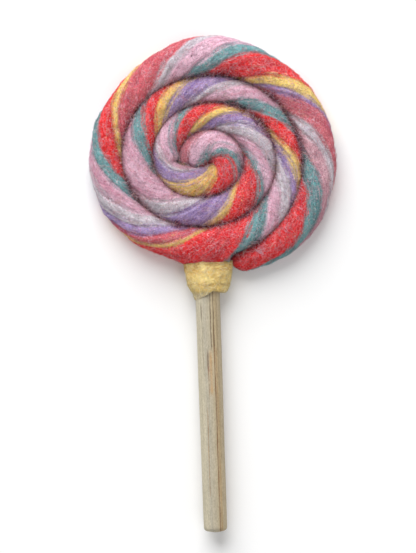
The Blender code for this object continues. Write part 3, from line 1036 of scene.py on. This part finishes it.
class Finish:
    """A material in the making, with its Principled shader."""

    def __init__(self, name, **constants):
        self.material = bpy.data.materials.new(name)
        self.material.use_nodes = True
        self.tree = self.material.node_tree
        self.shader = self.tree.nodes["Principled BSDF"]
        for socket, value in constants.items():
            self.shader.inputs[socket.replace("_", " ")].default_value = value

    def feed(self, socket, value):
        if isinstance(value, Wire):
            self.tree.links.new(value.socket, socket)
        else:
            socket.default_value = value

    def add(self, kind, settings=None, inputs=None, output=0):
        """Node of this type: settings first, then the values or links of its sockets."""
        node = self.tree.nodes.new(kind)
        for setting, value in (settings or {}).items():
            if setting == "stops":
                self.set_stops(node.color_ramp, value)
            else:
                setattr(node, setting, value)
        for socket, value in (inputs or {}).items():
            self.feed(node.inputs[socket], value)
        return Wire(self, node.outputs[output])

    @staticmethod
    def set_stops(ramp, stops):
        while len(ramp.elements) < len(stops):
            ramp.elements.new(0.5)
        for element, (position, colour) in zip(ramp.elements, stops):
            element.position = position
            element.color = opaque(colour)

    def maths(self, operation, *values):
        return self.add("ShaderNodeMath", {"operation": operation}, dict(enumerate(values)))

    def vector(self, x, y, z):
        return self.add("ShaderNodeCombineXYZ", None, {0: x, 1: y, 2: z})

    def parts(self, vector):
        return [self.add("ShaderNodeSeparateXYZ", None, {0: vector}, output) for output in range(3)]

    def noise(self, place, scale, detail=2.0, roughness=0.5, distortion=0.0):
        values = (place, scale, detail, roughness, distortion)
        return self.add("ShaderNodeTexNoise", None, dict(zip(NOISE_SOCKETS, values)))

    def mix(self, share, first, second, blend="MIX"):
        return self.add(
            "ShaderNodeMix",
            {"data_type": "RGBA", "blend_type": blend},
            {0: share, 6: first, 7: second},
            2,
        )

    def dye(self, share, colour, shade):
        """Colour with a share of this tone, of 0 to 255, mixed in."""
        return self.mix(share, colour, opaque(tone(*shade)))

    def scale(self, colour, strength):
        """Colour made lighter or darker."""
        return self.add("ShaderNodeVectorMath", {"operation": "SCALE"}, {0: colour, "Scale": strength})

    def uv(self, name):
        return self.parts(self.add("ShaderNodeUVMap", {"uv_map": name}))

    def attribute(self, name):
        return self.add("ShaderNodeAttribute", {"attribute_type": "GEOMETRY", "attribute_name": name})

    def object_place(self):
        """Object coordinates in millimetres."""
        place = self.add("ShaderNodeTexCoord", None, None, 3)
        return self.add("ShaderNodeVectorMath", {"operation": "SCALE"}, {0: place, "Scale": 1 / MM})

    def bump(self, height, distance, strength=1.0):
        """Relief of this height in millimetres on the shader's normal."""
        normal = self.add(
            "ShaderNodeBump", None, {"Height": height, "Distance": distance * MM, "Strength": strength}
        )
        self.feed(self.shader.inputs["Normal"], normal)

    def colour(self, value):
        self.feed(self.shader.inputs["Base Color"], value)


def tone(red, green, blue):
    """Linear colour from a display colour of 0 to 255."""
    def channel(value):
        value /= 255
        return value / 12.92 if value <= 0.04045 else ((value + 0.055) / 1.055) ** 2.4
    return channel(red), channel(green), channel(blue)


def linear(tones):
    return np.array([tone(*shade) for shade in tones])


def opaque(colour):
    return (*colour, 1)


def wool_finish():
    """Twisted wool: ragged stripes, streaks along the strands, fine stray hairs, and painted shade along
    strand borders and in the grooves.
    """
    wool = Finish("twisted_wool", Roughness=0.95, Sheen_Weight=0.04, Specular_IOR_Level=0.06)
    run, length, _ = wool.uv("strand_run")
    near_border, room, _ = wool.uv("nearness")
    turn = run * (2 * math.pi)
    across, over = turn.cosine() * (STRAND_RADIUS / MM), turn.sine() * (STRAND_RADIUS / MM)
    strand = wool.vector(across, over, length * STREAK_STRETCH)
    broad = wool.noise(strand, 0.3, 2)
    streak = wool.noise(strand, 1.1, 3, 0.65)
    fine = wool.noise(strand, 3.4, 2, 0.6)
    place = wool.object_place()
    felt = wool.noise(place, 1.6, 4, 0.7)
    clumps = wool.noise(place, 0.35, 2)

    streaked = (streak * 0.5 + felt * 0.3 + fine * 0.2 + (broad - 0.5) * 0.4).between(0.46, 0.62) * 0.8
    colour = wool.mix(streaked, wool.attribute("wool"), wool.attribute("streak_wool"))
    mingled = streak * 0.35 + fine * 0.30 + felt * 0.35 + near_border * 0.16 + (clumps - 0.5) * 0.12
    colour = wool.mix(mingled.between(0.58, 0.66) * 0.8, colour, wool.attribute("next_wool"))
    colour = wool.mix(near_border * near_border * 0.40, colour, wool.attribute("next_wool"))
    paled = (fine * 0.3 + felt * 0.7 + (clumps - 0.5) * 0.2).between(0.54, 0.66)
    colour = wool.dye(paled * 0.26, colour, (236, 206, 214))
    dulled = wool.noise(place, 2.4, 3, 0.6).between(0.52, 0.64)
    colour = wool.mix(dulled * 0.90, colour, opaque((0.56, 0.42, 0.47)), "MULTIPLY")
    colour = wool.scale(colour, 1.09 + (streak - 0.5) * 0.45 + (fine - 0.5) * 0.6 + (felt - 0.5) * 1.5)

    for scale, width, strength, shade in FRIZZ_LINES:
        field = wool.noise(place, scale, 1.5, 0.5, 1.6)
        hair = 1 - abs(field - 0.5).between(0.0, width)
        colour = wool.dye(hair * strength, colour, shade)

    # Painted shade along the borders between strands.
    colour = wool.scale(colour, 1 - near_border * near_border * 0.34)
    # Painted shade in the grooves: a broad darkening beside them, and a dark painted line along their core.
    drift = wool.noise(place, 0.11, 2)
    room_mm = room * (GROOVE_ROOM / MM) + (felt - 0.5) * 2.2 + (clumps - 0.5) * 1.8 + (drift - 0.5) * 3.2
    painted_groove_shade = 1 - room_mm.between(-0.6, 2.2)
    colour = wool.mix(painted_groove_shade * 0.85, colour, opaque((0.42, 0.24, 0.27)), "MULTIPLY")
    painted_groove_core = 1 - room_mm.between(-0.2, 0.7)
    wool.colour(wool.dye(painted_groove_core * 0.76, colour, (78, 34, 42)))
    wool.bump(streak * 0.5 + fine * 0.6 + felt * 0.4, 0.35)
    return wool.material


def hair_finish():
    """Loose hairs, each in its own tone, a little lighter and darker along it."""
    hair = Finish("loose_hair", Roughness=0.85, Specular_IOR_Level=0.1)
    spots = hair.noise(hair.object_place(), 0.9, 1)
    hair.colour(hair.scale(hair.attribute("hair"), 0.82 + spots * 0.36))
    return hair.material


def felt_finish():
    """Yellow needle felt with tan painted shade in creases below the swirl, a darker painted crease near its
    foot, and painted shade at the foot.
    """
    felt = Finish("yellow_felt", Roughness=0.95, Sheen_Weight=0.04, Specular_IOR_Level=0.06)
    place = felt.object_place()
    x, y, z = felt.parts(place)
    broad = felt.noise(place, 0.35, 2)
    lumpy = felt.noise(place, 0.9, 3, 0.6)
    fine = felt.noise(place, 2.6, 3, 0.75)
    colour = felt.mix(broad.between(0.40, 0.60), opaque(tone(250, 226, 154)), opaque(tone(236, 204, 128)))
    above_foot = y - COLLAR_FOOT_Y / MM
    wrinkle = felt.noise(felt.vector(x * 0.45, y * 1.1, z * 0.45), 0.9, 3, 0.6, 0.8)
    # Painted shade in the creases below the swirl, near the collar's top.
    top = (above_foot + (lumpy - 0.5) * 4).between(5.0, 8.5)
    colour = felt.dye(top * wrinkle.between(0.46, 0.58) * 0.85, colour, (198, 150, 78))
    # Painted shade in a crease near the foot.
    low_crease_shade = 1 - abs(above_foot - 2.6 + (lumpy - 0.5) * 2.0).between(0.1, 0.8)
    colour = felt.dye(low_crease_shade * wrinkle.between(0.42, 0.54) * 0.8, colour, (172, 130, 66))
    # Painted shade at the foot, where the collar meets the dowel.
    foot = 1 - (above_foot + (lumpy - 0.5) * 1.2).between(0.0, 1.1)
    colour = felt.dye(foot * 0.40, colour, (178, 148, 92))
    drooping = 1 - (above_foot + (fine - 0.5) * 1.6).between(-0.4, 0.5)
    colour = felt.dye(drooping * 0.90, colour, (196, 184, 160))
    tan = felt.noise(place, 1.5, 3, 0.7).between(0.54, 0.66)
    colour = felt.dye(tan * 0.5, colour, (214, 172, 90))
    green = felt.noise(place, 0.8, 1).between(0.58, 0.70)
    colour = felt.dye(green * 0.25, colour, (204, 196, 124))
    colour = felt.scale(colour, 1.0 + (lumpy - 0.5) * 0.25 + (fine - 0.5) * 1.1)
    hair = 1 - abs(felt.noise(place, 1.1, 2, 0.5, 1.0) - 0.5).between(0.0, 0.010)
    colour = felt.dye(hair * 0.45, colour, (246, 236, 200))
    felt.colour(colour)
    felt.bump(lumpy * 0.5 + fine * 0.6, 0.35)
    return felt.material


def wood_finish():
    """Pale softwood, weathered grey: long grain with brown lines, fine pores, and a small knot streak."""
    wood = Finish("bare_wood", Roughness=0.8, Specular_IOR_Level=0.2)
    x, y, z = wood.parts(wood.object_place())
    side = x - DOWEL_X / MM
    height = z - DOWEL_Z / MM
    drift = wood.noise(wood.vector(0.0, y * 0.03, 0.0), 1.0, 2) - 0.5
    grain = wood.vector(side, y * 0.03, height)
    broad = wood.noise(grain, 0.5, 2)
    streak = wood.noise(grain, 1.6, 3, 0.7)
    fine = wood.noise(wood.vector(side, y * 0.06, height), 3.6, 2, 0.6)
    grit = wood.noise(wood.vector(side, y * 0.45, height), 2.6, 3, 0.75)
    board = (side + height * 0.10 + drift * 0.7) / DOWEL_WIDTH_MM + 0.5
    board = board + (broad - 0.5) * 0.16 + (streak - 0.5) * 0.10
    tones = [(share, tone(*colour)) for share, colour in DOWEL_TONES]
    colour = wood.add("ShaderNodeValToRGB", {"stops": tones}, {0: board})
    for share, width, strength, first, last, brown in DOWEL_LINES:
        along = (y - first).between(0.0, 3.0) * (last - y).between(0.0, 3.0)
        fading = wood.noise(wood.vector(share * 60, y * 0.16, 0.0), 1.0, 2).between(0.30, 0.62)
        offset = side / DOWEL_WIDTH_MM + 0.5 - share + drift * 0.09 + (grit - 0.5) * 0.04
        line = 1 - abs(offset).between(0.0, width)
        colour = wood.dye(line * along * (0.6 + fading * 0.4) * strength, colour, brown)
    colour = wood.scale(colour, 1.0 + (streak - 0.5) * 0.45 + (fine - 0.5) * 0.55 + (grit - 0.5) * 0.9)
    wood.colour(colour)
    wood.bump(streak * 0.6 + fine * 0.4 + grit * 0.3, 0.12)
    return wood.material


def floor_finish():
    floor = Finish("studio_floor", Roughness=0.9, Specular_IOR_Level=0.0)
    cloud = floor.noise(floor.object_place(), 0.01, 1)
    floor.colour(floor.mix(cloud, (0.93, 0.93, 0.93, 1), (0.95, 0.95, 0.95, 1)))
    return floor.material


def finish_piece(piece, material, slot, *nodes):
    """Gives a piece its material and its body, and hides the nodes that it stands for. The slot is not used.
    """
    piece.data.materials.clear()
    piece.data.materials.append(material)
    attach(piece, BODY)
    if nodes:
        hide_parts(*nodes)


def make_object():
    hair = hair_finish()
    finish_piece(make_rope(), wool_finish(), "swirl_wool", "felt_swirl")
    finish_piece(make_collar(), felt_finish(), "collar_felt", "felt_collar")
    finish_piece(make_dowel(), wood_finish(), "dowel_wood", "dowel_stick")

    swirl_hairs = (
        rope_fuzz("combed_wool_hairs", 41, 6500, (1.6, 3.6), (0.04, 0.22), 0.35, 0.5, (0.045, 0.075), 0.7),
        rope_fuzz("ruffled_wool_hairs", 42, 10500, (1.0, 2.8), (0.08, 0.38), 1.0, 0.9, (0.04, 0.065), 0.75),
        rope_fuzz("frizzy_wool_hairs", 48, 10500, (0.8, 2.2), (0.05, 0.30), 3.0, 1.4, (0.04, 0.065), 0.9),
        stray_hairs("long_stray_hairs", 43, 2400, (2.6, 6.5), (0.03, 0.22), (0.035, 0.06), 0.7),
        stray_hairs("crossing_stray_hairs", 45, 3000, (1.6, 4.6), (0.03, 0.25), (0.035, 0.06), 1.6),
        groove_hairs("groove_hairs", 46, 1500, (1.4, 4.2), (0.0, 0.25), (0.04, 0.065), 0.75),
        tuft("pale_tuft", 47, TUFT_MM, 0.2, 26, (1.8, 4.0), 118, TUFT_TONES, (0.05, 0.08)),
        tuft("dark_specks", 48, SPECKS_MM, 0.05, 28, (0.25, 0.6), 40, SPECK_TONES, (0.10, 0.22)),
    )
    for piece in swirl_hairs:
        finish_piece(piece, hair, "swirl_wool")
    finish_piece(
        collar_fuzz("collar_hairs", 44, 3400, (0.8, 2.8), (0.04, 0.32), (0.035, 0.06)), hair, "collar_felt"
    )


def make_floor():
    deselect_all()
    bpy.ops.mesh.primitive_plane_add(size=8, location=(0, 0, 0))
    floor = bpy.context.object
    floor.name = "studio_floor"
    floor.data.materials.append(floor_finish())


def add_light(name, location, size, energy, aim):
    data = bpy.data.lights.new(name, "AREA")
    data.shape = "DISK"
    data.size = size
    data.energy = energy
    light = bpy.data.objects.new(name, data)
    light.location = location
    light.rotation_euler = (aim - Vector(location)).to_track_quat("-Z", "Y").to_euler()
    bpy.context.scene.collection.objects.link(light)


def light_studio():
    aim = Vector((0, MIDDLE[1] - 0.03, 0))
    add_light("key_light", (-0.28, 1.15, 0.92), 1.5, 28.0, aim)
    add_light("fill_light", (0.5, -0.9, 1.2), 1.4, 4.0, aim)
    world = bpy.data.worlds.new("studio_air")
    world.use_nodes = True
    world.node_tree.nodes["Background"].inputs["Color"].default_value = (1, 1, 1, 1)
    world.node_tree.nodes["Background"].inputs["Strength"].default_value = 0.41
    bpy.context.scene.world = world
    bpy.context.scene.view_settings.view_transform = "Standard"


def set_camera():
    """Camera straight above, turned so that the dowel leans as in the photograph."""
    right = Vector((math.cos(CAMERA_LEAN), -math.sin(CAMERA_LEAN), 0))
    up = Vector((math.sin(CAMERA_LEAN), math.cos(CAMERA_LEAN), 0))
    aim = Vector((*MIDDLE, 0)) + right * AIM_RIGHT - up * AIM_DOWN
    data = bpy.data.cameras.new("studio_camera")
    data.sensor_width = SENSOR
    data.lens = SENSOR * CAMERA_HEIGHT / PICTURE_HEIGHT
    data.clip_start = 0.05
    data.clip_end = 30
    camera = bpy.data.objects.new("studio_camera", data)
    camera.location = (aim.x, aim.y, OBJECT_PLANE + CAMERA_HEIGHT)
    camera.rotation_euler = (0, 0, -CAMERA_LEAN)
    bpy.context.scene.collection.objects.link(camera)
    bpy.context.scene.camera = camera


set_camera()
make_object()
make_floor()
light_studio()
